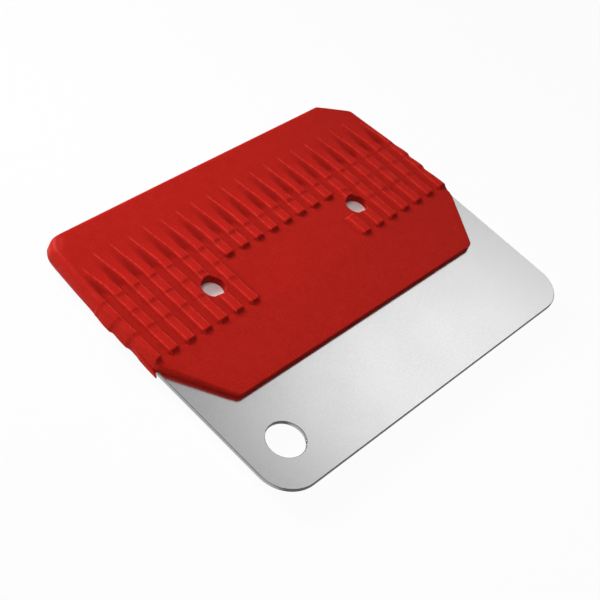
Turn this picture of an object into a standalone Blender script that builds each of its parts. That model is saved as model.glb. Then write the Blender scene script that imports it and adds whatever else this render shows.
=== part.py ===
"""Ski wax scraper: a thin steel blade with a ribbed plastic handle moulded around its upper part.

The drawing frame has X along the scraping edge with 0 at the middle of the blade, Y from the scraping
edge up to the top of the handle, and Z out of the front face with 0 in the middle of the blade's thickness.
An empty then lifts the drawing so that the scraper lies on its back, centred on the origin.
"""

import math

import bmesh
import bpy
from mathutils import Matrix, Vector

MM = 0.001

# Blade
BLADE_WIDTH = 100.0 * MM
BLADE_THICKNESS = 1.0 * MM
BLADE_REACH = 23.5 * MM
BLADE_CORNER_RADIUS = 8.0 * MM
HANG_HOLE_DIAMETER = 8.8 * MM
HANG_HOLE_FROM_SIDE = 10.7 * MM
HANG_HOLE_FROM_EDGE = 10.95 * MM

# Hidden part of the blade, inside the handle
SHOULDER_DEPTH = 15.5 * MM
TANG_STEP = 9.0 * MM
TANG_DEPTH = 41.0 * MM
TANG_CORNER_RADIUS = 4.0 * MM
LOCK_HOLE_DIAMETER = 6.0 * MM
LOCK_HOLE_DEPTH = 33.5 * MM
LOCK_HOLE_INNER_X = 12.0 * MM
LOCK_HOLE_OUTER_X = 35.0 * MM

# Handle outline at its parting plane, where it is widest
HANDLE_LENGTH = 54.7 * MM
HANDLE_SIDE_SHIFT = -1.0 * MM
SIDE_INSET = 0.15 * MM
LOWER_CHAMFER_RUN = 9.95 * MM
LOWER_CHAMFER_RISE = 15.5 * MM
SIDE_TAPER = 1.3 * MM
SIDE_BOW = 0.45 * MM
TOP_CHAMFER_RUN = 2.3 * MM
TOP_CHAMFER_RISE = 3.4 * MM
LOWER_CORNER_RADIUS = 2.0 * MM
WIDE_CORNER_RADIUS = 0.8 * MM
SIDE_BOW_RADIUS = 40.0 * MM
TOP_CORNER_RADIUS = 2.2 * MM

# How far the front and back faces stay inside that outline
HANDLE_THICKNESS = 6.6 * MM
FACE_LOWER_INSET = 0.7 * MM
FACE_LOWER_CORNER_INSET = 0.3 * MM
FACE_SIDE_INSET = 0.7 * MM
BACK_SIDE_INSET = 2.4 * MM
FACE_TOP_INSET = 0.6 * MM
FACE_CORNER_SIDE_INSET = 1.55 * MM
FACE_CORNER_DROP = 3.2 * MM
FACE_CORNER_RUN = 6.0 * MM
SIDE_CURVE = 1.4

# Grip ribs
RIB_PITCH = 4.85 * MM
RIB_HEIGHT = 0.8 * MM
GROOVE_FLOOR_WIDTH = 1.5 * MM
GROOVE_TIP_WIDTH = 0.15 * MM
GROOVE_WALL_LEAN = 0.6
GROOVE_STEP = 0.05 * MM
PLAIN_TOP_BAND = 7.9 * MM
GROOVE_RAMP = 12.0 * MM
PLAIN_LOWER_FIELD = 17.0 * MM
LONG_ROW = 7.45 * MM
SHORT_ROW = 5.0 * MM
SHORT_ROWS = 2
SHINGLE_STEP = 0.35 * MM
SHINGLE_PEAK_DROP = 0.03 * MM

# Plain field in the middle of the handle
FIELD_COLUMNS = 7
FIELD_HEIGHT = 30.3 * MM
SHORT_COLUMN_BLOCK = 5.65 * MM

# Support pin holes, on the rib columns to both sides of the field
PIN_COLUMN = 5
PIN_DIAMETER = 5.7 * MM
PIN_HEIGHT = 24.8 * MM

# Fin of plastic that wraps one side edge of the blade at the widest corner
FIN_WALL = 0.8 * MM
FIN_THICKNESS = 2.0 * MM
FIN_DROP = 0.4 * MM
FIN_LENGTH = 8.6 * MM
FIN_ROOT = 3.0 * MM

# Clearance between the blade and the moulding, and how far cutters run past a face
CLEARANCE = 0.3 * MM
OVERRUN = 2.0 * MM

ARC_STEPS = 6
HOLE_SEGMENTS = 40
RIM_STEPS = 6

# Sizes that follow from the ones above
OVERALL_LENGTH = BLADE_REACH + HANDLE_LENGTH
FRONT_Z = HANDLE_THICKNESS / 2
BASE_Z = FRONT_Z - RIB_HEIGHT
WIDE_HALF = BLADE_WIDTH / 2 - SIDE_INSET
WIDE_Y = BLADE_REACH + LOWER_CHAMFER_RISE
TIP_Y = OVERALL_LENGTH - PLAIN_TOP_BAND
RIB_END_Y = BLADE_REACH + PLAIN_LOWER_FIELD
FIELD_TOP_Y = BLADE_REACH + FIELD_HEIGHT
LOCK_HOLE_Y = BLADE_REACH + LOCK_HOLE_DEPTH
LOCK_HOLE_XS = (-LOCK_HOLE_OUTER_X, -LOCK_HOLE_INNER_X, LOCK_HOLE_INNER_X, LOCK_HOLE_OUTER_X)
FRONT_AND_BACK = (1, -1)


def clear_scene():
    for scene_object in list(bpy.data.objects):
        bpy.data.objects.remove(scene_object, do_unlink=True)


def make_material(name, colour, roughness, metallic):
    material = bpy.data.materials.new(name)
    material.use_nodes = True
    shader = material.node_tree.nodes["Principled BSDF"]
    shader.inputs["Base Color"].default_value = (*colour, 1.0)
    shader.inputs["Roughness"].default_value = roughness
    shader.inputs["Metallic"].default_value = metallic
    return material


def round_corners(corners, radii):
    """Replace each corner of a closed outline by an arc, or keep it where its radius is 0."""
    outline = []
    count = len(corners)
    for index, radius in enumerate(radii):
        corner = Vector(corners[index])
        if radius == 0:
            outline.append(tuple(corner))
            continue
        to_last = (Vector(corners[index - 1]) - corner).normalized()
        to_next = (Vector(corners[(index + 1) % count]) - corner).normalized()
        half_angle = to_last.angle(to_next) / 2
        centre = corner + (to_last + to_next).normalized() * (radius / math.sin(half_angle))
        tangent = radius / math.tan(half_angle)
        start = corner + to_last * tangent - centre
        sweep = start.angle_signed(corner + to_next * tangent - centre)
        for step in range(ARC_STEPS + 1):
            spoke = start.copy()
            spoke.rotate(Matrix.Rotation(-sweep * step / ARC_STEPS, 2))
            outline.append(tuple(centre + spoke))
    return outline


def add_loft(shape, loops, smooth):
    """Skin a closed body through loops with equal point counts, and close both ends."""
    rings = [[shape.verts.new(point) for point in loop] for loop in loops]
    count = len(rings[0])
    for lower, upper in zip(rings, rings[1:]):
        for index in range(count):
            after = (index + 1) % count
            side = shape.faces.new((lower[index], lower[after], upper[after], upper[index]))
            side.smooth = smooth
    shape.faces.new(list(reversed(rings[0])))
    shape.faces.new(rings[-1])


def lofts(name, bodies, smooth=False):
    """Skin separate bodies, each given by its loops, into one object."""
    mesh = bpy.data.meshes.new(name)
    shape = bmesh.new()
    for loops in bodies:
        add_loft(shape, loops, smooth)
    bmesh.ops.recalc_face_normals(shape, faces=shape.faces)
    shape.to_mesh(mesh)
    shape.free()
    made = bpy.data.objects.new(name, mesh)
    bpy.context.scene.collection.objects.link(made)
    return made


def prism(outline, low, high):
    """Loops of a straight body that stands on a plan outline between two heights."""
    return [[(x, y, z) for x, y in outline] for z in (low, high)]


def circle(x, y, diameter):
    turns = [2 * math.pi * index / HOLE_SEGMENTS for index in range(HOLE_SEGMENTS)]
    return [(x + diameter / 2 * math.cos(turn), y + diameter / 2 * math.sin(turn)) for turn in turns]


def as_tool(tool):
    tool.hide_render = True
    tool.display_type = "WIRE"
    return tool


def combine(target, tool, operation):
    modifier = target.modifiers.new(tool.name, "BOOLEAN")
    modifier.object = as_tool(tool)
    modifier.operation = operation
    modifier.solver = "EXACT"


def blade_outline(grow=0.0, lower_edge=0.0, corner_radius=BLADE_CORNER_RADIUS):
    """Plan of the blade, or of the slot around it when it is grown by a clearance."""
    half = BLADE_WIDTH / 2 + grow
    tang_half = BLADE_WIDTH / 2 - TANG_STEP + grow
    shoulder = BLADE_REACH + SHOULDER_DEPTH + grow
    top = BLADE_REACH + TANG_DEPTH + grow
    corners = [
        (-half, lower_edge),
        (half, lower_edge),
        (half, shoulder),
        (tang_half, shoulder),
        (tang_half, top),
        (-tang_half, top),
        (-tang_half, shoulder),
        (-half, shoulder),
    ]
    radii = [corner_radius, corner_radius, 0, 0, TANG_CORNER_RADIUS, TANG_CORNER_RADIUS, 0, 0]
    return round_corners(corners, radii)


def half_outline(side_inset):
    """Right half of the handle's plan at the parting plane, and how far each corner steps in at a face."""
    side_top_half = WIDE_HALF - SIDE_TAPER
    side_top_y = OVERALL_LENGTH - TOP_CHAMFER_RISE
    parting = [
        (WIDE_HALF - LOWER_CHAMFER_RUN, BLADE_REACH),
        (WIDE_HALF, WIDE_Y),
        ((WIDE_HALF + side_top_half) / 2 + SIDE_BOW, (WIDE_Y + side_top_y) / 2),
        (side_top_half, side_top_y),
        (side_top_half - TOP_CHAMFER_RUN, OVERALL_LENGTH),
    ]
    steps_in = [
        (FACE_LOWER_CORNER_INSET, -FACE_LOWER_INSET),
        (side_inset, -FACE_LOWER_CORNER_INSET),
        (side_inset, 0.0),
        (FACE_CORNER_SIDE_INSET, FACE_CORNER_DROP),
        (FACE_CORNER_RUN, FACE_TOP_INSET),
    ]
    return parting, steps_in


def handle_loop(share):
    """Plan of the bare handle at a share of the way from the parting plane to a face."""
    side = abs(share) ** SIDE_CURVE
    top = 1 - math.sqrt(max(0.0, 1 - share * share))
    rises = [abs(share), abs(share), side, side, top]
    parting, steps_in = half_outline(FACE_SIDE_INSET if share > 0 else BACK_SIDE_INSET)
    right = []
    for (x, y), (step_x, step_y), rise in zip(parting, steps_in, rises):
        right.append((x - step_x * side, y - step_y * rise))
    left = [(-x, y) for x, y in reversed(right)]
    radii = [
        LOWER_CORNER_RADIUS,
        WIDE_CORNER_RADIUS,
        SIDE_BOW_RADIUS,
        TOP_CORNER_RADIUS,
        TOP_CORNER_RADIUS,
    ]
    outline = round_corners(right + left, radii + radii[::-1])
    return [(x, y, share * FRONT_Z) for x, y in outline]


def handle_blank():
    turns = [math.pi / 2 * step / RIM_STEPS for step in range(-RIM_STEPS, RIM_STEPS + 1)]
    return lofts("handle_moulding", [[handle_loop(math.sin(turn)) for turn in turns]], smooth=True)


def corner_fin():
    """Thin wall that wraps the blade's side edge at the widest corner on the hanging hole's side."""
    outer = -BLADE_WIDTH / 2 - FIN_WALL
    low = WIDE_Y - FIN_DROP
    high = low + FIN_LENGTH
    root = outer + FIN_ROOT
    plan = [(outer, low), (root, low + FIN_ROOT), (root, high), (outer, high - FIN_ROOT)]
    plan = [(x - HANDLE_SIDE_SHIFT, y) for x, y in plan]
    return lofts("corner_fin", [prism(plan, -FIN_THICKNESS / 2, FIN_THICKNESS / 2)])


def field_cutters():
    """Plain fields below the ribs and between them, on both faces."""
    beyond = WIDE_HALF + OVERRUN
    below = BLADE_REACH - OVERRUN
    field_half = FIELD_COLUMNS * RIB_PITCH / 2
    gap_side = field_half + RIB_PITCH
    gap_low = RIB_END_Y + SHORT_COLUMN_BLOCK
    plan = [
        (-beyond, below),
        (beyond, below),
        (beyond, RIB_END_Y),
        (field_half, RIB_END_Y),
        (field_half, gap_low),
        (gap_side, gap_low),
        (gap_side, FIELD_TOP_Y),
        (-field_half, FIELD_TOP_Y),
        (-field_half, RIB_END_Y),
        (-beyond, RIB_END_Y),
    ]
    above = FRONT_Z + OVERRUN
    return lofts("field_cutters", [prism(plan, face * BASE_Z, face * above) for face in FRONT_AND_BACK])


def groove_section(x, y, z, floor_half, face):
    """Cross-section of a groove: a floor, and walls that lean outwards."""
    top = FRONT_Z + OVERRUN
    top_half = floor_half + (top - z) * GROOVE_WALL_LEAN
    return [
        (x - floor_half, y, face * z),
        (x + floor_half, y, face * z),
        (x + top_half, y, face * top),
        (x - top_half, y, face * top),
    ]


def groove_cutters():
    """Grooves between the rib columns: each starts as a point and ramps down to the plain field."""
    side_count = int((WIDE_HALF - GROOVE_FLOOR_WIDTH) / RIB_PITCH + 0.5)
    depth = RIB_HEIGHT - GROOVE_STEP
    floor_z = FRONT_Z - depth
    floor_half = GROOVE_FLOOR_WIDTH / 2
    tip_half = GROOVE_TIP_WIDTH / 2
    tip_y = TIP_Y + OVERRUN
    tip_z = FRONT_Z + depth * OVERRUN / GROOVE_RAMP
    bodies = []
    for face in FRONT_AND_BACK:
        for index in range(-side_count, side_count):
            x = (index + 0.5) * RIB_PITCH
            end_y = FIELD_TOP_Y if abs(x) < FIELD_COLUMNS * RIB_PITCH / 2 else RIB_END_Y
            bodies.append([
                groove_section(x, tip_y, tip_z, tip_half, face),
                groove_section(x, TIP_Y - GROOVE_RAMP, floor_z, floor_half, face),
                groove_section(x, end_y - OVERRUN, floor_z, floor_half, face),
            ])
    return lofts("groove_cutters", bodies)


def shingle_cutters():
    """Saw-tooth cuts across the ribs: each block rises towards the blade and the next starts lower."""
    beyond = WIDE_HALF + OVERRUN
    above = FRONT_Z + OVERRUN
    peak = FRONT_Z - SHINGLE_PEAK_DROP
    foot = FRONT_Z - SHINGLE_STEP
    cut_y = RIB_END_Y + LONG_ROW
    teeth = [(RIB_END_Y, peak), (cut_y, foot)]
    for _ in range(SHORT_ROWS):
        teeth += [(cut_y, peak), (cut_y + SHORT_ROW, foot)]
        cut_y += SHORT_ROW
    profile = [(RIB_END_Y, above)] + teeth + [(cut_y, above)]
    bodies = []
    for face in FRONT_AND_BACK:
        bodies.append([[(x, y, face * z) for y, z in profile] for x in (-beyond, beyond)])
    return lofts("shingle_cutters", bodies)


def pin_cutters():
    reach = FRONT_Z + OVERRUN
    y = BLADE_REACH + PIN_HEIGHT
    xs = (-PIN_COLUMN * RIB_PITCH, PIN_COLUMN * RIB_PITCH)
    bodies = [prism(circle(x, y, PIN_DIAMETER), -reach, reach) for x in xs]
    return lofts("pin_cutters", bodies, smooth=True)


def slot_cutter():
    """Room for the blade inside the moulding, open at the lower edge."""
    half = BLADE_THICKNESS / 2 + CLEARANCE
    outline = blade_outline(grow=CLEARANCE, lower_edge=OVERRUN, corner_radius=0)
    outline = [(x - HANDLE_SIDE_SHIFT, y) for x, y in outline]
    return lofts("slot_cutter", [prism(outline, -half, half)])


def lock_pegs():
    """Plastic that fills the blade's lock holes and ties the front of the handle to its back."""
    reach = (FRONT_Z + BLADE_THICKNESS / 2) / 2
    diameter = LOCK_HOLE_DIAMETER - 2 * CLEARANCE
    plans = [circle(x - HANDLE_SIDE_SHIFT, LOCK_HOLE_Y, diameter) for x in LOCK_HOLE_XS]
    return lofts("lock_pegs", [prism(plan, -reach, reach) for plan in plans], smooth=True)


def make_handle():
    handle = handle_blank()
    combine(handle, corner_fin(), "UNION")
    combine(handle, field_cutters(), "DIFFERENCE")
    combine(handle, groove_cutters(), "DIFFERENCE")
    combine(handle, shingle_cutters(), "DIFFERENCE")
    combine(handle, pin_cutters(), "DIFFERENCE")
    combine(handle, slot_cutter(), "DIFFERENCE")
    combine(handle, lock_pegs(), "UNION")
    handle.data.materials.append(make_material("red_plastic", (0.46, 0.018, 0.012), 0.45, 0.0))
    return handle


def make_blade():
    half = BLADE_THICKNESS / 2
    blade = lofts("steel_blade", [prism(blade_outline(), -half, half)], smooth=True)
    hang_x = HANG_HOLE_FROM_SIDE - BLADE_WIDTH / 2
    plans = [circle(hang_x, HANG_HOLE_FROM_EDGE, HANG_HOLE_DIAMETER)]
    plans += [circle(x, LOCK_HOLE_Y, LOCK_HOLE_DIAMETER) for x in LOCK_HOLE_XS]
    reach = half + OVERRUN
    holes = lofts("blade_holes", [prism(plan, -reach, reach) for plan in plans], smooth=True)
    combine(blade, holes, "DIFFERENCE")
    blade.data.materials.append(make_material("satin_steel", (0.62, 0.62, 0.63), 0.38, 1.0))
    return blade


def main():
    clear_scene()
    scraper = bpy.data.objects.new("scraper", None)
    bpy.context.scene.collection.objects.link(scraper)
    scraper.location = (FIN_WALL / 2, -OVERALL_LENGTH / 2, HANDLE_THICKNESS / 2)
    handle = make_handle()
    blade = make_blade()
    for piece in (handle, blade):
        piece.parent = scraper
        for modifier in piece.modifiers:
            modifier.object.parent = piece
    handle.location.x = HANDLE_SIDE_SHIFT


main()
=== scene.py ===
"""Looks for the ski wax scraper: a satin steel blade held in a ribbed red plastic handle.

Lengths are in millimetres in a drawing frame: X along the scraping edge from the middle of the blade, Y from
the scraping edge up to the top of the handle, and Z out of the front face from the middle of the blade.
"""

import math

import bpy
import numpy as np
from mathutils import Matrix, Vector


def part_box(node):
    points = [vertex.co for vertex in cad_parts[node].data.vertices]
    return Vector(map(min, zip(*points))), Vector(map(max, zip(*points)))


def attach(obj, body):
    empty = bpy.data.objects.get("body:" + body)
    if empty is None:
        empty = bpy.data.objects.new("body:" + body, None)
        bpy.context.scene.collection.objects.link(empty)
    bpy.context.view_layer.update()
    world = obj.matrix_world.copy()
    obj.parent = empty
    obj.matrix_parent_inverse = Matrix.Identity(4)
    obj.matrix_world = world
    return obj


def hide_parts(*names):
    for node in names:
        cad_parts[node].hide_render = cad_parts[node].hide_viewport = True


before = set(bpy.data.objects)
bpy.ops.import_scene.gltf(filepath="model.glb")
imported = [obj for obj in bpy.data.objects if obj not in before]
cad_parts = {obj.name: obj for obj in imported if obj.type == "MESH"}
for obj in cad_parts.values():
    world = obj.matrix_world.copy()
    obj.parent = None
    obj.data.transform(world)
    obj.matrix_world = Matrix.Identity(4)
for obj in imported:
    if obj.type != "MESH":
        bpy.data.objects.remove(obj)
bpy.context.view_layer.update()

MM = 0.001

# Blade
BLADE_HALF_WIDTH = 50.0
BLADE_HALF_THICKNESS = 0.5
BLADE_CORNER_RADIUS = 8.0
BLADE_EDGE_BREAK = 0.18
BLADE_EDGE_STEPS = 2
BLADE_SHARP_ANGLE = math.radians(30)
HANG_HOLE = (-39.3, 10.95, 4.4)
HANG_HOLE_SEGMENTS = 96
SHOULDER_Y = 39.0
SHOULDER_END = 0.4  # a rim point this far below each shoulder keeps the corner's shading off the long side
TANG_HALF_WIDTH = 41.0
TANG_TOP_Y = 64.5

# Handle outlines: each half's corners from the lower edge to the top, with X away from the handle's middle
HANDLE_SHIFT = -1.0
PARTING = {
    1: [(40.9, 23.8), (49.8, 38.3), (49.65, 56.9), (48.2, 72.7), (41.0, 77.95)],
    -1: [(38.9, 23.95), (49.05, 39.0), (49.65, 56.9), (47.95, 75.5), (46.2, 77.95)],
}
FRONT_EDGE = {
    1: [(40.45, 23.5), (49.35, 37.8), (48.95, 56.9), (47.5, 72.1), (40.4, 77.95)],
    -1: [(39.45, 23.75), (48.95, 39.05), (48.95, 56.9), (47.6, 74.9), (45.3, 77.95)],
}
BACK_EDGE = {
    1: [(40.1, 23.75), (48.0, 39.3), (47.8, 56.9), (46.8, 71.9), (40.4, 77.95)],
    -1: [(38.9, 23.8), (47.6, 39.3), (47.8, 56.9), (46.6, 74.7), (44.8, 77.95)],
}
CORNER_RADII = {1: [1.9, 0.8, 40.0, 1.0, 0.6], -1: [2.0, 0.8, 40.0, 3.0, 2.2]}
EDGE_FILLETS = {
    1: [(-0.2, 0.2), (-0.4, 0.15), (-0.45, 0.0), (-0.45, -0.3), (-0.2, -0.9)],
    -1: [(-0.35, 0.25), (-0.8, 0.15), (-1.2, 0.0), (-1.5, -1.1), (-1.2, -0.95)],
}

# Handle relief
FRONT_Z = 3.3
RIB_HEIGHT = 0.8
BASE_Z = FRONT_Z - RIB_HEIGHT
RIB_PITCH = 4.85
GROOVES_PER_SIDE = 10
GROOVE_HALF_WIDTH = 1.42
GROOVE_TIP_HALF_WIDTH = 0.2
WALL_FOOT, WALL_TOP = 0.42, 1.04
TIP_Y = 70.3
OUTER_TIP_DROP = 2.4
GROOVE_WIDENING = 9.0
GROOVE_RAMP = 10.3
GROOVE_RAMP_CURVE = 2.0
FLOOR_Y, FLOOR_RUN = 62.0, 3.0
SCOOP_LEFT = (0.15, 2.0)
SCOOP_RIGHT_FOOT = -0.15
SCOOP_CURVE = 1.6
SCOOP_LINE_WIDTH = 1.69
# Painted highlights along the groove rims: their width, insets and how soon they reach full strength
RIM_WIDTH = 0.2
RIGHT_RIM_INSET, LEFT_RIM_INSET = 0.05, 0.1
RIM_GAIN = 8
RIB_END_Y = 40.0
ROW_EDGES = (40.0, 47.6, 52.6, 57.6)
ROW_SLANT = 0.006
SHINGLE_DROPS = (0.02, 0.30)
RIB_CROWN = 0.16
RIB_SIDE_SHARE = 0.6
TOP_DROP = 0.06
TOP_DROP_START, TOP_DROP_RUN = 57.6, 10.5
FIELD_HALF_COLUMNS = 3
FIELD_TOP_Y = 53.0
FIELD_DROP = 0.6
FIELD_DROP_START, FIELD_DROP_RUN = 39.0, 15.5
SHORT_COLUMN = 4
SHORT_BLOCK_TOP_Y = 45.9
STEP_RUN, STEP_LEAD, STEP_CURVE = 1.8, 1.4, 2.4
SHORT_BLOCK_RUN = 0.7
END_RUN, END_LEAD = 0.9, 0.42
END_ROUNDING, END_ROUNDING_POWER = 0.5, 4
SCALLOP = 0.42
SCALLOP_RUN = 1.0
SCALLOP_SHARES = {1: (1.0, 1.0, 1.0), -1: (0.1, 0.2, 1.2)}
# Painted shade: where the groove floors are painted darkest, on the sloping run-outs, and how much the rest
# keeps
RAMP_SHADE_Y, RAMP_SHADE_LEAD, RAMP_SHADE_RUN = 58.6, 2.2, 11.0
GROOVE_SHADE_BASE, GROOVE_SHADE_GAIN = 0.38, 3
# Rib tops painted paler, for wear and for the light on them, up to a little below the top band
WORN_AND_LIT_TOP_Y, WORN_AND_LIT_RUN = 69.5, 9.0
LEDGE_LINE = 118.9
LEDGE_DROP = 1.2
LEDGE_RUN = 4.5
PINS = ((-24.25, 48.3), (24.25, 48.3))
PIN_RADIUS = 2.85
PIN_FLOOR_Z, PIN_TOP_Z = 0.3, FRONT_Z + 1.0
# Painted highlight on rib edges, painted groove shade, rib tops paler for wear and light, painted contact
# shade
MARKS = ("edge", "groove", "worn_and_lit", "deep_shade")

blade_low, blade_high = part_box("steel_blade")
ZERO = Vector(((blade_low.x + blade_high.x) / 2, blade_low.y, (blade_low.z + blade_high.z) / 2))


def to_row(points):
    """Points of the drawing frame, in the row frame and in metres."""
    return np.asarray(points, float) * MM + np.array(ZERO)


def ease(share):
    share = np.clip(share, 0.0, 1.0)
    return share * share * (3 - 2 * share)


def make_piece(name, mesh, material):
    piece = bpy.data.objects.new(name, mesh)
    bpy.context.scene.collection.objects.link(piece)
    mesh.materials.append(material)
    return piece


def evaluated_mesh(drawn):
    """A mesh of what an object looks like with its modifiers or bevel."""
    bpy.context.view_layer.update()
    return bpy.data.meshes.new_from_object(drawn.evaluated_get(bpy.context.evaluated_depsgraph_get()))


def add_attribute(mesh, name, values, domain="POINT"):
    attribute = mesh.attributes.new(name, "FLOAT", domain)
    attribute.data.foreach_set("value", np.asarray(values, np.float32))


# Outlines

ARC_STEPS = 8


def arc(before, corner, after, radius):
    """Points of the fillet at one corner, from one tangent point to the other."""
    before, corner, after = (np.array(p, float) for p in (before, corner, after))
    to_last = (before - corner) / np.linalg.norm(before - corner)
    to_next = (after - corner) / np.linalg.norm(after - corner)
    half = math.acos(float(np.clip(to_last @ to_next, -1, 1))) / 2
    middle = (to_last + to_next) / np.linalg.norm(to_last + to_next)
    centre = corner + middle * radius / math.sin(half)
    reach = math.pi / 2 - half
    side = np.array((-middle[1], middle[0]))
    turns = np.linspace(-reach, reach, 2 * ARC_STEPS + 1)
    points = [centre + radius * (math.sin(t) * side - math.cos(t) * middle) for t in turns]
    if np.linalg.norm(points[0] - before) > np.linalg.norm(points[-1] - before):
        points.reverse()
    return points


def half_path(corners, radii, middles):
    """Stretches of half an outline: its lower edge, one from corner to corner, and its top edge."""
    first, last = corners[0], corners[-1]
    chain = [(-first[0], first[1]), *corners, (-last[0], last[1])]
    arcs = [arc(*chain[i:i + 3], radius) for i, radius in enumerate(radii)]
    stretches = [[(0.0, middles[0]), *arcs[0][:ARC_STEPS + 1]]]
    for lower, upper in zip(arcs, arcs[1:]):
        stretches.append([*lower[ARC_STEPS:], *upper[:ARC_STEPS + 1]])
    stretches.append([*arcs[-1][ARC_STEPS:], (0.0, middles[1])])
    return [np.array(stretch) for stretch in stretches]


def outline(halves):
    middles = [(halves[1][end][1] + halves[-1][end][1]) / 2 for end in (0, -1)]
    return {side: half_path(corners, CORNER_RADII[side], middles) for side, corners in halves.items()}


def shares_of(stretch):
    lengths = np.concatenate([[0.0], np.cumsum(np.linalg.norm(np.diff(stretch, axis=0), axis=1))])
    return lengths / lengths[-1]


def along(stretch, shares):
    known = shares_of(stretch)
    return np.stack([np.interp(shares, known, stretch[:, axis]) for axis in (0, 1)], axis=1)


def marks_at(path, heights):
    """Where along the side of an outline each height lies: whole numbers are corners."""
    marks = np.concatenate([number + shares_of(s) for number, s in enumerate(path[1:-1])])
    return np.interp(heights, np.concatenate([s[:, 1] for s in path[1:-1]]), marks)


def side_points(path, marks):
    points = np.zeros((len(marks), 2))
    for number, stretch in enumerate(path[1:-1]):
        chosen = (marks >= number) & (marks <= number + 1)
        points[chosen] = along(stretch, marks[chosen] - number)
    return points


# Handle relief

def groove_share(y, run, groove_x):
    """How far along its run-out a groove is at a height: 0 at its tip and 1 where it is whole."""
    shorter = OUTER_TIP_DROP * (np.abs(groove_x) > (GROOVES_PER_SIDE - 1) * RIB_PITCH)
    return np.clip((TIP_Y - shorter - y) / (run - shorter), 0.0, 1.0)


def groove_half_width(y, groove_x):
    share = groove_share(y, GROOVE_WIDENING, groove_x)
    return GROOVE_TIP_HALF_WIDTH + (GROOVE_HALF_WIDTH - GROOVE_TIP_HALF_WIDTH) * share


def whole_floor(y):
    """How far a groove has gone over from its scooped run-out to a flat floor."""
    return ease((FLOOR_Y - y) / FLOOR_RUN)


def groove_floor(offset, y, width):
    """Share of a groove's depth that is reached at an offset to the right of its middle."""
    flat = whole_floor(y)
    left_foot, left_top = (scoop + (wall * GROOVE_HALF_WIDTH - scoop) * flat
                           for scoop, wall in zip(SCOOP_LEFT, (WALL_FOOT, WALL_TOP)))
    right_foot = SCOOP_RIGHT_FOOT + (WALL_FOOT * width - SCOOP_RIGHT_FOOT) * flat
    left = ease((-offset - left_foot) / (left_top - left_foot))
    climb = np.clip((offset - right_foot) / (WALL_TOP * width - right_foot), 0.0, 1.0)
    right = climb ** SCOOP_CURVE * (1 - flat) + ease(climb) * flat
    return (1 - left) * (1 - right)


def groove_rims(offset, y, width):
    """Where a groove's rims take a painted highlight: the right one all along, and the left one below the
    run-out.
    """
    right = np.exp(-((offset - WALL_TOP * width + RIGHT_RIM_INSET) / RIM_WIDTH) ** 2)
    left = np.exp(-((offset + WALL_TOP * GROOVE_HALF_WIDTH - LEFT_RIM_INSET) / RIM_WIDTH) ** 2)
    return right + left * whole_floor(y)


def step_up(y, edge):
    """Rise at the lower edge of a row of blocks: a hollow foot and a crisp upper edge."""
    return np.clip((y - edge + STEP_LEAD) / STEP_RUN, 0.0, 1.0) ** STEP_CURVE


def end_up(y, edge, aside):
    """Rise at the lower end of a rib, with its corners rounded off in plan."""
    return ease((y - edge + END_LEAD - END_ROUNDING * aside ** END_ROUNDING_POWER) / END_RUN)


def shingle_drop(y):
    """How far a rib's top lies below the front face: each block rises towards the blade."""
    low, high = SHINGLE_DROPS
    drop = np.zeros_like(y)
    for index, edge in enumerate(ROW_EDGES):
        if index + 1 < len(ROW_EDGES):
            share = np.clip((y - edge) / (ROW_EDGES[index + 1] - edge), 0.0, 1.0)
            block = low + (high - low) * share ** 2
        else:
            block = np.zeros_like(y)
        drop = block if index == 0 else drop + (block - drop) * step_up(y, edge)
    return np.clip(drop, 0.0, high)


def rib_rise(column, y, aside):
    """Height of a rib's top above the plain fields."""
    whole = end_up(y, RIB_END_Y, aside)
    upper = end_up(y, FIELD_TOP_Y, aside)
    short = np.maximum(whole * (1 - ease((y - SHORT_BLOCK_TOP_Y) / SHORT_BLOCK_RUN)), upper)
    shown = np.where(np.abs(column) <= FIELD_HALF_COLUMNS, upper, whole)
    shown = np.where(column == SHORT_COLUMN, short, shown)
    return (RIB_HEIGHT - shingle_drop(y)) * shown


def ledge(x, y):
    """The slight step down outside a slanting line at the left top corner."""
    outside = (np.abs(x) + y - LEDGE_LINE) / math.sqrt(2)
    return np.where(x < 0, LEDGE_DROP * ease(outside / LEDGE_RUN), 0.0)


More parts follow.
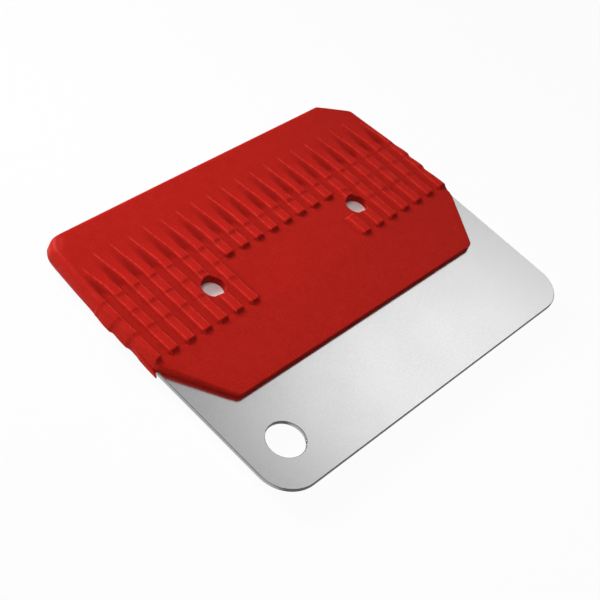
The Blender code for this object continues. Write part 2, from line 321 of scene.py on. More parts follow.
def relief(x, y):
    """Height of the handle's face, and how strongly each of the MARKS, mostly painted light and shade, holds
    there.
    """
    ledge_drop = ledge(x, y)
    y = y - ROW_SLANT * x
    column = np.round(x / RIB_PITCH)
    groove_x = (np.floor(np.abs(x) / RIB_PITCH) + 0.5) * RIB_PITCH
    width = groove_half_width(y, groove_x)
    offset = x - np.copysign(groove_x, x)
    inside = groove_x < GROOVES_PER_SIDE * RIB_PITCH
    floor = np.where(inside, groove_floor(offset, y, width), 0.0)
    rims = np.where(inside, groove_rims(offset, y, width), 0.0)
    rib_side = RIB_PITCH / 2 - RIB_SIDE_SHARE * width
    aside = np.clip(np.abs(x / RIB_PITCH - column) * RIB_PITCH / rib_side, 0.0, 1.0)
    rise = rib_rise(column, y, aside)
    opened = groove_share(y, GROOVE_RAMP, groove_x)
    depth = np.minimum(RIB_HEIGHT * opened ** GROOVE_RAMP_CURVE, rise)
    shown = np.minimum(opened, rise / RIB_HEIGHT)
    height = rise - np.maximum(floor * depth, RIB_CROWN * aside ** 2 * shown)
    # Painted highlights along the groove rims, only where the ribs stand up
    edge = rims * np.clip(shown * RIM_GAIN, 0.0, 1.0)
    drop = TOP_DROP * ease((y - TOP_DROP_START) / TOP_DROP_RUN)
    drop += FIELD_DROP * np.clip((FIELD_DROP_START - y) / FIELD_DROP_RUN, 0.0, 1.0)
    # Painted shade on the groove floors: full on the sloping run-outs, weaker further down
    ramp_shade = ease((y - RAMP_SHADE_Y) / RAMP_SHADE_LEAD)
    ramp_shade = ramp_shade * (1 - ease((y - RAMP_SHADE_Y - RAMP_SHADE_LEAD) / RAMP_SHADE_RUN))
    groove = floor * np.clip(depth / RIB_HEIGHT * GROOVE_SHADE_GAIN, 0.0, 1.0)
    groove = groove * (GROOVE_SHADE_BASE + (1 - GROOVE_SHADE_BASE) * ramp_shade)
    # Rib tops painted paler, for wear and for the light on them, fading out near the top band
    worn_and_lit = (1 - floor) * np.clip(rise / RIB_HEIGHT * 2 - 1, 0.0, 1.0)
    worn_and_lit = worn_and_lit * (1 - ease((y - WORN_AND_LIT_TOP_Y + WORN_AND_LIT_RUN) / WORN_AND_LIT_RUN))
    return BASE_Z + height - drop - ledge_drop, (edge, groove, worn_and_lit, np.zeros_like(edge))


def scallop(y):
    """How far the sides stand out beside each block of the outermost ribs."""
    low, high = SHINGLE_DROPS
    inside = ease((y - RIB_END_Y + SCALLOP_RUN) / SCALLOP_RUN) * (1 - step_up(y, ROW_EDGES[-1]))
    return SCALLOP * inside * (1 - (shingle_drop(y) - low) / (high - low))


# Handle mesh

GROOVE_LINES = (0.0, 0.35, 0.50, 0.58, 0.65, 0.72, 0.78, 0.84, 0.90, 0.96, 1.02, 1.12, 1.3)
LEAST_COLUMN_WIDTH = 0.35
RIB_LINES = (0.3, 0.7)
EDGE_LINES = (0.4, 0.75, 1.0)
EDGE_STRIP = 0.45
STEP_LINES = (
    -1.5, -1.3, -1.1, -0.9, -0.75, *(-0.6 + 0.1 * line for line in range(17)), 1.25, 1.5,
)
FIRST_ROW_RISE, LAST_ROW_DROP = 0.9, 1.5
FIELD_ROW_STEP, FIELD_ROW_GAP = 1.4, 1.6
BLOCK_ROW_STEP = 1.1
RAMP_ROW_STEP, RAMP_ROW_GAP = 0.7, 0.5
TOP_ROW_STEP = 0.6
HELD_CORNERS = (1.0, 3.0)  # beyond these two corners of a side, the columns only draw together


def row_heights(low, high):
    """Heights of the mesh's rows: close together at every step of the ribs."""
    rows = list(np.arange(low, RIB_END_Y - FIELD_ROW_GAP, FIELD_ROW_STEP))
    edges = sorted([*ROW_EDGES, SHORT_BLOCK_TOP_Y, FIELD_TOP_Y])
    for edge, after in zip(edges, edges[1:] + [None]):
        rows += [edge + line for line in STEP_LINES]
        if after is not None:
            start, stop = edge + STEP_LINES[-1], after + STEP_LINES[0]
            count = max(2, int((stop - start) / BLOCK_ROW_STEP) + 2)
            rows += list(np.linspace(start, stop, count)[1:-1])
    rows += list(np.arange(rows[-1] + RAMP_ROW_GAP, TIP_Y, RAMP_ROW_STEP))
    rows += list(np.arange(TIP_Y, high, TOP_ROW_STEP))
    return np.array(sorted(set(np.round(rows, 4))))


def column_places(y, half_width, side):
    """Places of half the mesh's columns at one height: they follow the grooves, then the side."""
    places = [0.0]
    left = SCOOP_LINE_WIDTH + (GROOVE_HALF_WIDTH - SCOOP_LINE_WIDTH) * float(whole_floor(y))
    for groove in range(GROOVES_PER_SIDE):
        centre = (groove + 0.5) * RIB_PITCH
        right = max(float(groove_half_width(y, centre)), LEAST_COLUMN_WIDTH)
        inner, outer = (left, right) if side > 0 else (right, left)
        start, stop = places[-1], centre - GROOVE_LINES[-1] * inner
        places += [start + (stop - start) * line for line in RIB_LINES]
        places += [centre - line * inner for line in reversed(GROOVE_LINES[1:])]
        places += [centre + line * outer for line in GROOVE_LINES]
        if groove + 1 < GROOVES_PER_SIDE:
            stop = (groove + 1) * RIB_PITCH
            places += [places[-1] + (stop - places[-1]) * line for line in (*RIB_LINES, 1.0)]
    places = np.array(places)
    rib, limit = (GROOVES_PER_SIDE - 1) * RIB_PITCH, half_width - EDGE_STRIP
    if places[-1] > limit:
        drawn_in = rib + (places - rib) * (limit - rib) / (places[-1] - rib)
        places = np.where(places > rib, drawn_in, places)
    edge = [places[-1] + (half_width - places[-1]) * line for line in EDGE_LINES]
    return np.concatenate([places, edge])


def end_row(path, side, places, top):
    """Points of the lower or top edge of half an outline, spread as the columns next to it are."""
    shares = places / places[-1]
    points = along(path[-1 if top else 0], 1 - shares if top else shares)
    return points * (side, 1)


def across(left, right):
    """One row from left to right out of its two halves, which share their middle point."""
    return np.concatenate([left[:0:-1], right])


def handle_face(edge, rows):
    """Points of one face's cap, and of the cap's rim, the wall's top and the parting line around it."""
    fillets = {side: [(x + dx, y + dy) for (x, y), (dx, dy) in zip(edge[side], EDGE_FILLETS[side])]
               for side in edge}
    paths = [outline(halves) for halves in (fillets, edge, PARTING)]
    bulge = np.column_stack([scallop(rows), np.zeros_like(rows)])
    halves, rims = {}, [{} for _ in paths]
    for side in (-1, 1):
        marks = marks_at(paths[0][side], rows)
        first, last = marks.searchsorted(HELD_CORNERS)
        reach = side_points(paths[0][side], marks)[:, 0] + bulge[:, 0] * SCALLOP_SHARES[side][0]
        places = []
        for index in range(len(rows)):
            held = min(max(index, first), last - 1)
            places.append(column_places(rows[held], reach[held], side) * reach[index] / reach[held])
        halves[side] = np.array(places)
        for rim, path, share in zip(rims, paths, SCALLOP_SHARES[side]):
            flank = (side_points(path[side], marks) + bulge * share) * (side, 1)
            rim[side] = (end_row(path[side], side, places[0], False), flank,
                         end_row(path[side], side, places[-1], True))
    loops = []
    for rim in rims:
        lower, upper = (across(rim[-1][i], rim[1][i]) for i in (0, 2))
        loops.append((lower, rim[1][1], upper, rim[-1][1]))
    grid = np.zeros((len(rows) + 2, len(loops[0][0]), 2))
    grid[0], grid[-1] = loops[0][0], loops[0][2]
    for index, y in enumerate(rows):
        grid[index + 1, :, 0] = across(-halves[-1][index], halves[1][index])
        grid[index + 1, :, 1] = y
    return grid, [np.concatenate([a, b, c[::-1], d[::-1]]) for a, b, c, d in loops]


def boundary_ids(row_count, column_count):
    ids = np.arange(row_count * column_count).reshape(row_count, column_count)
    return np.concatenate([ids[0], ids[1:-1, -1], ids[-1, ::-1], ids[-2:0:-1, 0]])


# Painted shade on the walls, growing towards the blade, below the rib ends
CONTACT_SHADE = 0.45
CONTACT_TOP_Y = RIB_END_Y - 1.0
FILLET_STEPS = 6
WALL_STEPS = 5
FILLET_DROP = 0.85
FILLET_LIMIT = 0.8
WALL_BULGE = 0.06


def rim_rings(rims, tops):
    """Rings from a face's cap over its filleted edge and down the wall, and the parting line itself."""
    cap, wall, parting = (np.column_stack([rim, tops]) for rim in rims)
    parting[:, 2] = 0.0
    run = parting - wall
    reach, height = (np.linalg.norm(span, axis=1, keepdims=True) for span in (wall - cap, run))
    below = wall + run * np.minimum(FILLET_DROP * reach / height, FILLET_LIMIT)
    rings = []
    for step in range(1, FILLET_STEPS + 1):
        t = step / FILLET_STEPS
        rings.append(cap * (1 - t) ** 2 + wall * 2 * t * (1 - t) + below * t * t)
    outward = np.column_stack([run[:, :2], np.zeros(len(run))])
    for step in range(1, WALL_STEPS):
        t = step / WALL_STEPS
        rings.append(below + (parting - below) * t + outward * WALL_BULGE * 4 * t * (1 - t))
    return rings, parting


def handle_mesh():
    low, high = FRONT_EDGE[1][0][1], FRONT_EDGE[1][-1][1]
    rows = row_heights(low + FIRST_ROW_RISE, high - LAST_ROW_DROP)
    points, marks, shells = [], [], []
    parting = None
    count = 0
    for edge, sign in ((FRONT_EDGE, 1), (BACK_EDGE, -1)):
        grid, rims = handle_face(edge, rows)
        height, shares = relief(grid[..., 0], grid[..., 1])
        loop = boundary_ids(*height.shape)
        rings, base = rim_rings(rims, height.ravel()[loop])
        parting = base if parting is None else parting
        block = np.concatenate([np.column_stack([grid.reshape(-1, 2), height.ravel()]), *rings])
        block[:, 2] *= sign
        points.append(block)
        marks.append(np.column_stack([share.ravel() for share in shares]))
        for step, ring in enumerate(rings):
            # Painted shade on the walls, darkening towards the blade below the rib ends
            deep_shade = CONTACT_SHADE * (step / len(rings)) ** 2 * (ring[:, 1] < CONTACT_TOP_Y)
            marks.append(np.column_stack([np.zeros((len(loop), len(shares) - 1)), deep_shade]))
        ids = count + np.arange(height.size).reshape(height.shape)
        quads = np.stack([ids[:-1, :-1], ids[:-1, 1:], ids[1:, 1:], ids[1:, :-1]], axis=-1)
        starts = count + height.size + len(loop) * np.arange(len(rings))
        loops = [count + loop, *(start + np.arange(len(loop)) for start in starts)]
        shells.append((quads.reshape(-1, 4), loops, sign))
        count += len(block)
    points.append(parting)
    marks.append(np.zeros((len(parting), len(MARKS))))
    faces = []
    for quads, loops, sign in shells:
        loops.append(count + np.arange(len(parting)))
        walls = [np.stack([outer, np.roll(outer, -1), np.roll(inner, -1), inner], axis=1)
                 for inner, outer in zip(loops, loops[1:])]
        quads = np.concatenate([quads, *walls])
        faces.append(quads if sign > 0 else quads[:, ::-1])
    points = np.concatenate(points)
    points[:, 0] += HANDLE_SHIFT
    mesh = bpy.data.meshes.new("handle_grip")
    mesh.from_pydata(to_row(points).tolist(), [], np.concatenate(faces).tolist())
    for name, values in zip(MARKS, np.concatenate(marks).T):
        add_attribute(mesh, name, values)
    mesh.shade_smooth()
    return mesh


# Corner fin: a thin lip that stands off the left side at the widest corner

FIN_STATIONS = (
    # y, outer x, width, bottom z, top z
    (46.6, 49.15, 0.60, -0.10, 1.50),
    (45.6, 49.35, 0.60, -0.10, 1.45),
    (44.6, 49.55, 0.58, -0.15, 1.35),
    (43.4, 49.75, 0.56, -0.20, 1.20),
    (42.0, 49.85, 0.54, -0.20, 1.08),
    (40.6, 49.90, 0.52, -0.20, 0.95),
    (39.6, 49.92, 0.50, -0.20, 0.85),
    (38.9, 49.95, 0.45, -0.15, 0.72),
    (38.3, 49.98, 0.36, -0.10, 0.55),
    (37.9, 50.00, 0.24, 0.00, 0.35),
)
FIN_SECTION = 20
FIN_SQUARENESS = 0.45
FIN_STEPS = 4
FIN_SHARP_ANGLE = math.radians(60)


def fin_mesh():
    """A closed tube of rounded sections, each one given by its width and heights."""
    turns = np.linspace(0, 2 * math.pi, FIN_SECTION, endpoint=False)
    circle = np.column_stack([np.cos(turns), np.sin(turns)])
    shape = np.sign(circle) * np.abs(circle) ** FIN_SQUARENESS
    stations = np.array(FIN_STATIONS)
    spots = np.linspace(0, len(stations) - 1, FIN_STEPS * (len(stations) - 1) + 1)
    stations = np.column_stack([np.interp(spots, range(len(stations)), column) for column in stations.T])
    points, faces = [], []
    for y, outer, width, low, high in stations:
        x = -(outer - width / 2) + shape[:, 0] * width / 2
        z = (low + high) / 2 + shape[:, 1] * (high - low) / 2
        points += list(np.column_stack([x + HANDLE_SHIFT, np.full_like(x, y), z]))
    for ring in range(len(stations) - 1):
        for i in range(FIN_SECTION):
            a, b = ring * FIN_SECTION + i, ring * FIN_SECTION + (i + 1) % FIN_SECTION
            faces.append([a, b, b + FIN_SECTION, a + FIN_SECTION])
    last = (len(stations) - 1) * FIN_SECTION
    faces.append(list(range(FIN_SECTION))[::-1])
    faces.append([last + i for i in range(FIN_SECTION)])
    mesh = bpy.data.meshes.new("corner_fin")
    mesh.from_pydata(to_row(points).tolist(), [], faces)
    for name in MARKS:
        add_attribute(mesh, name, np.zeros(len(points)))
    mesh.shade_smooth()
    mesh.set_sharp_from_angle(angle=FIN_SHARP_ANGLE)
    return mesh


# Pin holes

PIN_SEGMENTS = 64
CUT_SHARP_ANGLE = math.radians(50)


def disc(x, y, radius, count):
    turns = np.linspace(0, 2 * math.pi, count, endpoint=False)
    return np.stack([x + radius * np.cos(turns), y + radius * np.sin(turns)], axis=1)


def pin_cutter():
    """Round plugs that leave the support pin holes, down to just under the blade's faces."""
    points, faces = [], []
    for x, y in PINS:
        for sign in (1, -1):
            rim = disc(x + HANDLE_SHIFT, y, PIN_RADIUS, PIN_SEGMENTS)
            start = len(points)
            for z in (PIN_FLOOR_Z, PIN_TOP_Z):
                points += [(px, py, sign * z) for px, py in rim]
            low = [start + i for i in range(PIN_SEGMENTS)]
            high = [i + PIN_SEGMENTS for i in low]
            made = [low[::-1], high]
            for i in range(PIN_SEGMENTS):
                j = (i + 1) % PIN_SEGMENTS
                made.append([low[i], low[j], high[j], high[i]])
            faces += made if sign > 0 else [face[::-1] for face in made]
    mesh = bpy.data.meshes.new("pin_cutter")
    mesh.from_pydata(to_row(points).tolist(), [], faces)
    # The pin holes' walls take painted shade
    add_attribute(mesh, "deep_shade", np.ones(len(points)))
    return bpy.data.objects.new("pin_cutter", mesh)


def cut(piece, tool):
    """Cut a tool out of a piece and keep only the result."""
    bpy.context.scene.collection.objects.link(tool)
    modifier = piece.modifiers.new("cut", "BOOLEAN")
    modifier.object = tool
    modifier.operation = "DIFFERENCE"
    modifier.solver = "EXACT"
    made = evaluated_mesh(piece)
    piece.modifiers.clear()
    piece.data = made
    bpy.data.objects.remove(tool)
    made.set_sharp_from_angle(angle=CUT_SHARP_ANGLE)


# Blade

SIDE_SLOPE = 0.95


def blade_spline(curve, rim):
    spline = curve.splines.new("POLY")
    spline.points.add(len(rim) - 1)
    for point, (x, y) in zip(spline.points, rim):
        point.co = (x * MM, y * MM, 0.0, 1.0)
    spline.use_cyclic_u = True


def blade_mesh():
    half, tang = BLADE_HALF_WIDTH, TANG_HALF_WIDTH
    rim = []
    for side in (-1, 1):
        x = side * half
        corner = arc((-x, 0), (x, 0), (x, SHOULDER_Y), BLADE_CORNER_RADIUS)
        rim += corner[::-1] if side < 0 else corner
    right = [(half, SHOULDER_Y - SHOULDER_END), (half, SHOULDER_Y), (tang, SHOULDER_Y), (tang, TANG_TOP_Y)]
    rim += right + [(-x, y) for x, y in reversed(right)]
    curve = bpy.data.curves.new("blade_plate", "CURVE")
    curve.dimensions = "2D"
    curve.fill_mode = "BOTH"
    blade_spline(curve, rim)
    blade_spline(curve, disc(*HANG_HOLE, HANG_HOLE_SEGMENTS))
    curve.extrude = (BLADE_HALF_THICKNESS - BLADE_EDGE_BREAK) * MM
    curve.bevel_depth = BLADE_EDGE_BREAK * MM
    curve.bevel_resolution = BLADE_EDGE_STEPS
    curve.offset = -BLADE_EDGE_BREAK * MM
    drawn = bpy.data.objects.new("blade_drawing", curve)
    bpy.context.scene.collection.objects.link(drawn)
    mesh = evaluated_mesh(drawn)
    mesh.transform(Matrix.Translation(ZERO))
    bpy.data.objects.remove(drawn)
    mesh.name = "blade_plate"
    mesh.materials.clear()
    mesh.shade_smooth()
    mesh.set_sharp_from_angle(angle=BLADE_SHARP_ANGLE)
    sides = [abs(face.normal.z) < SIDE_SLOPE for face in mesh.polygons]
    add_attribute(mesh, "side", sides, "FACE")
    return mesh


# Materials

def new_material(name):
    material = bpy.data.materials.new(name)
    material.use_nodes = True
    return material.node_tree, material.node_tree.nodes["Principled BSDF"], material


def map_range(tree, source, from_range, to_range, smooth=True):
    node = tree.nodes.new("ShaderNodeMapRange")
    node.interpolation_type = "SMOOTHSTEP" if smooth else "LINEAR"
    node.inputs["From Min"].default_value, node.inputs["From Max"].default_value = from_range
    node.inputs["To Min"].default_value, node.inputs["To Max"].default_value = to_range
    tree.links.new(source, node.inputs["Value"])
    return node.outputs["Result"]


def math_node(tree, operation, first, second):
    node = tree.nodes.new("ShaderNodeMath")
    node.operation = operation
    for socket, value in zip(node.inputs, (first, second)):
        if isinstance(value, (int, float)):
            socket.default_value = value
        else:
            tree.links.new(value, socket)
    return node.outputs[0]


def mix_colour(tree, share, first, second):
    node = tree.nodes.new("ShaderNodeMix")
    node.data_type = "RGBA"
    tree.links.new(share, node.inputs["Factor"])
    for socket, value in ((node.inputs[6], first), (node.inputs[7], second)):
        if isinstance(value, tuple):
            socket.default_value = value
        else:
            tree.links.new(value, socket)
    return node.outputs[2]


def object_place(tree):
    return tree.nodes.new("ShaderNodeTexCoord").outputs["Object"]


def stretched(tree, place, scale):
    node = tree.nodes.new("ShaderNodeVectorMath")
    node.operation = "MULTIPLY"
    node.inputs[1].default_value = scale
    tree.links.new(place, node.inputs[0])
    return node.outputs[0]


def noise(tree, place, scale, detail=2.0):
    node = tree.nodes.new("ShaderNodeTexNoise")
    node.inputs["Scale"].default_value = scale
    node.inputs["Detail"].default_value = detail
    tree.links.new(place, node.inputs["Vector"])
    return node.outputs["Fac"]


def named(tree, name):
    node = tree.nodes.new("ShaderNodeAttribute")
    node.attribute_name = name
    return node.outputs["Fac"]


def bump(tree, height, distance, strength, normal=None):
    node = tree.nodes.new("ShaderNodeBump")
    node.inputs["Distance"].default_value = distance
    node.inputs["Strength"].default_value = strength
    tree.links.new(height, node.inputs["Height"])
    if normal is not None:
        tree.links.new(normal, node.inputs["Normal"])
    return node.outputs["Normal"]


def up_to(tree, mark, most):
    """A mark's share of a layer, from nothing to the most that the layer covers."""
    return map_range(tree, mark, (0.0, 1.0), (0, most), False)


NOISE_SPAN = (0.3, 0.7)
RED_CLOUDS = ((0.425, 0.0118, 0.0070, 1), (0.450, 0.0135, 0.0085, 1))
RED_PITS = (0.30, 0.007, 0.004, 1)
RED_GLINTS = (0.62, 0.022, 0.013, 1)
# Painted groove shade, rib tops paler for wear and light, painted edge highlights, painted contact shade
RED_GROOVE_SHADE = (0.24, 0.005, 0.003, 1)
RED_WORN_AND_LIT = (0.62, 0.014, 0.009, 1)
RED_EDGE_HIGHLIGHT = (0.66, 0.040, 0.030, 1)
RED_DEEP_SHADE = (0.05, 0.004, 0.002, 1)
RED_GRAIN_SCALE, RED_CLOUD_SCALE, RED_HIGHLIGHT_BREAK_SCALE, RED_DIMPLE_SCALE = 2900, 420, 1100, 1300
RED_ROUGHNESS = (0.38, 0.46)
RED_SPECULAR = 0.05
RED_GRAIN_BUMP, RED_DIMPLE_BUMP = (0.00006, 0.35), (0.00012, 0.25)
EDGE_SPAN = (0.1, 1.0)


def red_plastic():
    """Moulded red plastic: a fine matt grain, faint mottling, smoother rib edges, and painted light and
    shade.
    """
    tree, shader, material = new_material("red_plastic_moulded")
    place = object_place(tree)
    grain = noise(tree, place, RED_GRAIN_SCALE)
    cloud = noise(tree, place, RED_CLOUD_SCALE, detail=3)
    edge, groove, worn_and_lit, deep_shade = (named(tree, name) for name in MARKS)
    colour = mix_colour(tree, map_range(tree, cloud, NOISE_SPAN, (0, 1)), *RED_CLOUDS)
    edge_highlight = math_node(tree, "MULTIPLY", map_range(tree, edge, EDGE_SPAN, (0, 1)),
                       map_range(tree, noise(tree, place, RED_HIGHLIGHT_BREAK_SCALE), (0.35, 0.65), (0.35, 0.95)))
    for share, layer in (
        # how much of the layer shows, and its colour
        (map_range(tree, grain, (0.28, 0.48), (0.5, 0)), RED_PITS),
        (map_range(tree, grain, (0.54, 0.74), (0, 0.55)), RED_GLINTS),
        # painted shade in the grooves
        (up_to(tree, groove, 0.6), RED_GROOVE_SHADE),
        # rib tops painted paler, for wear and for the light on them
        (up_to(tree, worn_and_lit, 0.3), RED_WORN_AND_LIT),
        # painted highlights on the rib edges, broken up by noise, over smoother rubbed edges
        (edge_highlight, RED_EDGE_HIGHLIGHT),
        # painted shade at the walls' foot and in the pin holes
        (up_to(tree, deep_shade, 0.85), RED_DEEP_SHADE),
    ):
        colour = mix_colour(tree, share, colour, layer)
    tree.links.new(colour, shader.inputs["Base Color"])
    rough = math_node(tree, "ADD", map_range(tree, cloud, NOISE_SPAN, RED_ROUGHNESS),
                      map_range(tree, edge, EDGE_SPAN, (0, -0.10)))
    rough = math_node(tree, "ADD", rough, map_range(tree, deep_shade, (0.0, 0.3), (0, 0.5)))
    tree.links.new(rough, shader.inputs["Roughness"])
    shader.inputs["Specular IOR Level"].default_value = RED_SPECULAR
    normal = bump(tree, grain, *RED_GRAIN_BUMP)
    normal = bump(tree, noise(tree, place, RED_DIMPLE_SCALE), *RED_DIMPLE_BUMP, normal)
    tree.links.new(normal, shader.inputs["Normal"])
    return material


STEEL_CLOUDS = ((0.84, 0.84, 0.845, 1), (0.88, 0.88, 0.88, 1))
STEEL_GRAIN = (0.55, 0.55, 0.56, 1)
STEEL_LINES = (0.58, 0.58, 0.59, 1)
# Painted light and shade on the blade's sides: dark, and pale where they face left
STEEL_SIDE_SHADES = ((0.10, 0.10, 0.105, 1), (0.42, 0.42, 0.425, 1))
# Painted light: the steel under the handle, seen at the bottom of the pin holes, is dull and almost white
STEEL_COVERED_LIT = (0.97, 0.95, 0.94, 1)
STEEL_LINE_SCALE, STEEL_CLOUD_SCALE, STEEL_GRAIN_SCALE = 4200, 60, 2600
STEEL_LINE_STRETCH = (0.12, 1.0, 1.0)
STEEL_ROUGHNESS = (0.195, 0.225)
SIDE_ROUGHENING, COVERED_ROUGHENING = 0.2, 0.5
COVERED_Y = (0.000, 0.002)
LIT_SIDE_FACING = (-0.98, -0.7)
STEEL_LINE_BUMP = (0.000004, 0.1)


def satin_steel():
    """Satin strip steel: fine rolling lines along the blade, faint clouds, and sides with painted shade and
    light.

    Where the handle covers it, at the bottom of the pin holes, it is dull and painted almost white as
    painted light.
    """
    tree, shader, material = new_material("steel_satin")
    place = object_place(tree)
    lines = noise(tree, stretched(tree, place, STEEL_LINE_STRETCH), STEEL_LINE_SCALE)
    cloud = noise(tree, place, STEEL_CLOUD_SCALE)
    grain = noise(tree, place, STEEL_GRAIN_SCALE)
    side = named(tree, "side")
    facing = tree.nodes.new("ShaderNodeSeparateXYZ")
    tree.links.new(tree.nodes.new("ShaderNodeNewGeometry").outputs["True Normal"], facing.inputs[0])
    # Painted light and shade on the sides: pale where they face left, dark elsewhere
    side_shading = mix_colour(tree, map_range(tree, facing.outputs["X"], LIT_SIDE_FACING, (1, 0)), *STEEL_SIDE_SHADES)
    axes = tree.nodes.new("ShaderNodeSeparateXYZ")
    tree.links.new(place, axes.inputs[0])
    covered = map_range(tree, axes.outputs["Y"], COVERED_Y, (0, COVERED_ROUGHENING))
    colour = mix_colour(tree, map_range(tree, cloud, NOISE_SPAN, (0, 1)), *STEEL_CLOUDS)
    for share, layer in (
        # how much of the layer shows, and its colour
        (map_range(tree, grain, NOISE_SPAN, (0.16, 0)), STEEL_GRAIN),
        (map_range(tree, lines, (0.35, 0.6), (0.08, 0)), STEEL_LINES),
        (side, side_shading),
        # painted light at the bottom of the pin holes
        (map_range(tree, covered, (0.0, COVERED_ROUGHENING), (0, 1)), STEEL_COVERED_LIT),
    ):
        colour = mix_colour(tree, share, colour, layer)
    tree.links.new(colour, shader.inputs["Base Color"])
    metal = map_range(tree, covered, (0.0, COVERED_ROUGHENING), (1, 0))
    tree.links.new(metal, shader.inputs["Metallic"])
    rough = math_node(tree, "ADD", map_range(tree, cloud, NOISE_SPAN, STEEL_ROUGHNESS),
                      map_range(tree, lines, NOISE_SPAN, (-0.01, 0.015)))
    for more in (covered, math_node(tree, "MULTIPLY", side, SIDE_ROUGHENING)):
        rough = math_node(tree, "ADD", rough, more)
    tree.links.new(rough, shader.inputs["Roughness"])
    tree.links.new(bump(tree, lines, *STEEL_LINE_BUMP), shader.inputs["Normal"])
    return material


# Stage

FLOOR_SIZE = 3.0
FLOOR_GLOW = 0.95
FLOOR_COLOUR = (0.8, 0.8, 0.8, 1)
FLOOR_ROUGHNESS = 0.9
FLOOR_GAP = 0.0002


def add_floor():
    """A plain pale floor that the camera and the steel see as nearly white, with a faint shadow."""
    mesh = bpy.data.meshes.new("floor")
    corners = [(x * FLOOR_SIZE, y * FLOOR_SIZE, 0) for x, y in ((-1, -1), (1, -1), (1, 1), (-1, 1))]
    mesh.from_pydata(corners, [], [(0, 1, 2, 3)])
    tree, shader, material = new_material("pale_floor")
    shader.inputs["Base Color"].default_value = FLOOR_COLOUR
    shader.inputs["Roughness"].default_value = FLOOR_ROUGHNESS
    shader.inputs["Specular IOR Level"].default_value = 0.0
    path = tree.nodes.new("ShaderNodeLightPath")
    glow = tree.nodes.new("ShaderNodeEmission")
    mix = tree.nodes.new("ShaderNodeMixShader")
    mirrored = math_node(tree, "MAXIMUM", path.outputs["Is Glossy Ray"], path.outputs["Is Transmission Ray"])
    seen = math_node(tree, "MAXIMUM", path.outputs["Is Camera Ray"], mirrored)
    tree.links.new(math_node(tree, "MULTIPLY", seen, FLOOR_GLOW), mix.inputs["Fac"])
    tree.links.new(shader.outputs[0], mix.inputs[1])
    tree.links.new(glow.outputs[0], mix.inputs[2])
    tree.links.new(mix.outputs[0], tree.nodes["Material Output"].inputs["Surface"])
    floor = make_piece("floor", mesh, material)
    floor.location.z = -FLOOR_GAP


def add_softbox(name, place, target, size, watts, spread, mirrored):
    lamp = bpy.data.lights.new(name, "AREA")
    lamp.shape = "RECTANGLE"
    lamp.size, lamp.size_y = size
    lamp.energy = watts
    lamp.spread = math.radians(spread)
    holder = bpy.data.objects.new(name, lamp)
    bpy.context.scene.collection.objects.link(holder)
    holder.location = place
    holder.visible_glossy = mirrored
    holder.rotation_euler = (Vector(target) - Vector(place)).to_track_quat("-Z", "Y").to_euler()


LAMPS = (
    # name, place, target, size, watts, spread in degrees, mirrored
    ("key", (-0.065, 0.33, 0.185), (-0.018, -0.01, 0), (0.16, 0.14), 0.153, 50.0, True),
    ("top_fill", (-0.10, 0.10, 0.42), (0, 0, 0), (0.15, 0.15), 0.44, 180.0, False),
    ("left_fill", (-0.39, -0.09, 0.026), (0, 0, 0.002), (0.3, 0.025), 0.385, 180.0, False),
)


def direction(azimuth, elevation):
    azimuth, elevation = math.radians(azimuth), math.radians(elevation)
    flat = math.cos(elevation)
    return (flat * math.cos(azimuth), flat * math.sin(azimuth), math.sin(elevation))


ROOM_FRONT, ROOM_BACK = -0.5, 0.2
ROOM_GLOW = (0.06, 0.28)
PANEL_AZIMUTH = 19.0
PANEL_ELEVATIONS = ((38.0, 41.0), (51.0, 53.5))
PANEL_SIDE = (0.05, 0.17)
PANEL_FAR_SIDE = (-0.5, -0.3)
PANEL_FRONT = (0.0, 0.2)
PANEL_GLOW = 0.95
PALE_FRONT = (-0.6, 0.35)
PALE_TOP = (0.92, 0.99)
PALE_GLOW = 0.55


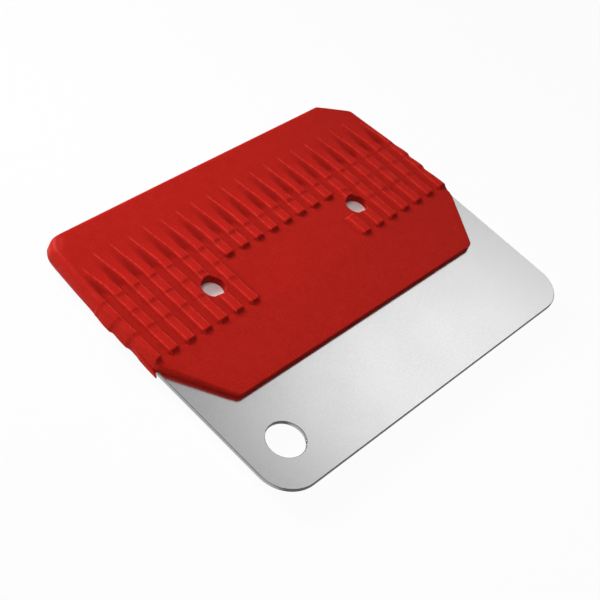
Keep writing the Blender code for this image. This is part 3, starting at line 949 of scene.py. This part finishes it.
def add_world():
    """A dim studio: darker in front, with one pale panel high on the right that the steel mirrors.

    In the front and overhead the steel mirrors a pale room, which sheds no light of its own.
    """
    world = bpy.data.worlds.new("studio")
    bpy.context.scene.world = world
    world.use_nodes = True
    tree = world.node_tree
    place = tree.nodes.new("ShaderNodeTexCoord").outputs["Generated"]
    axes = tree.nodes.new("ShaderNodeSeparateXYZ")
    tree.links.new(place, axes.inputs[0])
    room = map_range(tree, axes.outputs["Y"], (ROOM_FRONT, ROOM_BACK), ROOM_GLOW)
    beside = tree.nodes.new("ShaderNodeVectorMath")
    beside.operation = "DOT_PRODUCT"
    beside.inputs[1].default_value = direction(PANEL_AZIMUTH + 90.0, 0.0)
    tree.links.new(place, beside.inputs[0])
    low, high = ([math.sin(math.radians(angle)) for angle in edge] for edge in PANEL_ELEVATIONS)
    panel = map_range(tree, axes.outputs["Z"], low, (0, PANEL_GLOW))
    for source, fade, shares in (
        (axes.outputs["Z"], high, (1, 0)),
        (beside.outputs["Value"], PANEL_SIDE, (1, 0)),
        (beside.outputs["Value"], PANEL_FAR_SIDE, (0, 1)),
        (axes.outputs["X"], PANEL_FRONT, (0, 1)),
    ):
        panel = math_node(tree, "MULTIPLY", panel, map_range(tree, source, fade, shares))
    toward = math_node(tree, "ADD", axes.outputs["X"], axes.outputs["Y"])
    pale = math_node(tree, "MAXIMUM", map_range(tree, toward, PALE_FRONT, (PALE_GLOW, 0)),
                     map_range(tree, axes.outputs["Z"], PALE_TOP, (0, PALE_GLOW)))
    mirrored = tree.nodes.new("ShaderNodeLightPath").outputs["Is Glossy Ray"]
    pale = math_node(tree, "MULTIPLY", pale, mirrored)
    glow = math_node(tree, "MAXIMUM", math_node(tree, "ADD", room, panel), pale)
    tree.links.new(glow, tree.nodes["Background"].inputs["Strength"])
    tree.nodes["Background"].inputs["Color"].default_value = (1, 1, 1, 1)


# The photograph's camera: its place and its right, down and forward directions in the drawing frame, where Z
# counts from the blade's front face
CAMERA_PLACE = (-190.969, -58.580, 212.305)
CAMERA_AXES = (
    (0.669660, -0.694007, 0.264404),
    (-0.415416, -0.645150, -0.641258),
    (0.615618, 0.319587, -0.720332),
)
FOCAL_SHARE = 1321.593 / 600
SENSOR = 36.0
CLIP_START = 0.01


def add_camera():
    lens = bpy.data.cameras.new("photo_camera")
    lens.sensor_width = SENSOR
    lens.lens = FOCAL_SHARE * SENSOR
    lens.clip_start = CLIP_START
    camera = bpy.data.objects.new("photo_camera", lens)
    bpy.context.scene.collection.objects.link(camera)
    right, down, ahead = (Vector(axis) for axis in CAMERA_AXES)
    turn = Matrix((right, -down, -ahead)).transposed().to_4x4()
    place = Vector(CAMERA_PLACE) + Vector((0, 0, BLADE_HALF_THICKNESS))
    turn.translation = place * MM + ZERO
    camera.matrix_world = turn
    bpy.context.scene.camera = camera


def main():
    bpy.context.scene.view_settings.view_transform = "Standard"
    plastic = red_plastic()
    steel = satin_steel()

    handle = make_piece("handle_grip", handle_mesh(), plastic)
    cut(handle, pin_cutter())
    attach(handle, "root")
    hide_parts("handle_moulding")

    fin = make_piece("corner_fin", fin_mesh(), plastic)
    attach(fin, "root")

    blade = make_piece("blade_plate", blade_mesh(), steel)
    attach(blade, "root")
    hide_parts("steel_blade")

    add_floor()
    add_world()
    for lamp in LAMPS:
        add_softbox(*lamp)
    add_camera()


main()
